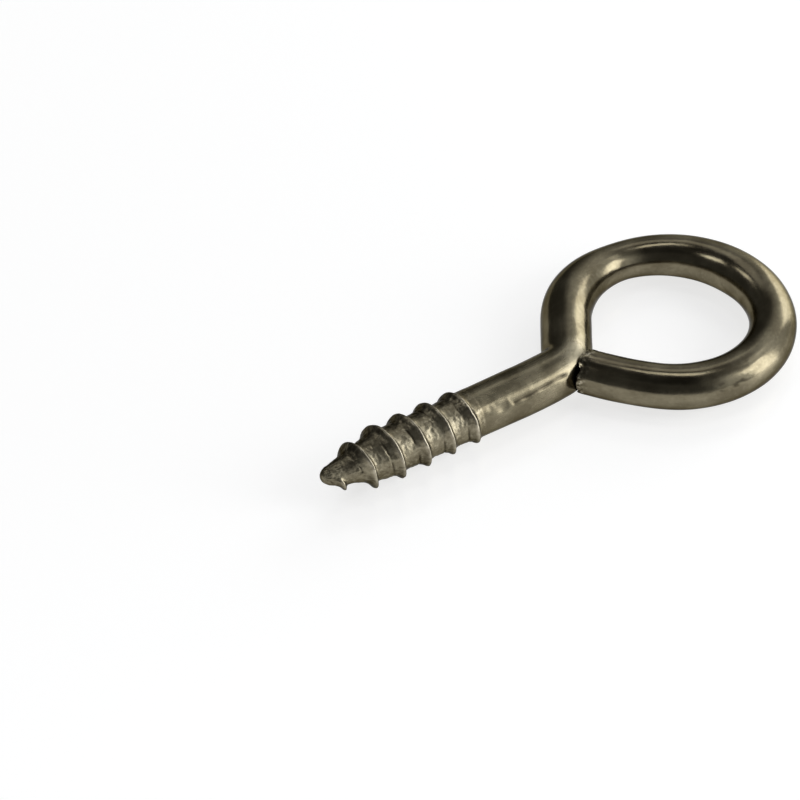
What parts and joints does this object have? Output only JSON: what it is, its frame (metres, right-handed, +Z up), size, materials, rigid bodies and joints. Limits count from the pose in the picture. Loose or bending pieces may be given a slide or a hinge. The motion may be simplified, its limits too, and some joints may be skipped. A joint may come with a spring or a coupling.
{
  "type": "screw eye",
  "caption": "Screw eye bent from one steel wire: coarse wood thread with a gimlet point, plain shank and a closed round eye.",
  "frame": {"origin": "centre of the footprint, on the ground", "axes": "+X along the shank from the tip to the eye, +Z up out of the eye's plane"},
  "size_m": [0.06, 0.0272, 0.0066],
  "materials": {
    "steel": "dull nickel-grey steel, darkened, worn smooth on the eye and rough in the thread"
  },
  "bodies": {
    "root": {"screw_eye": "steel"}
  },
  "joints": []
}
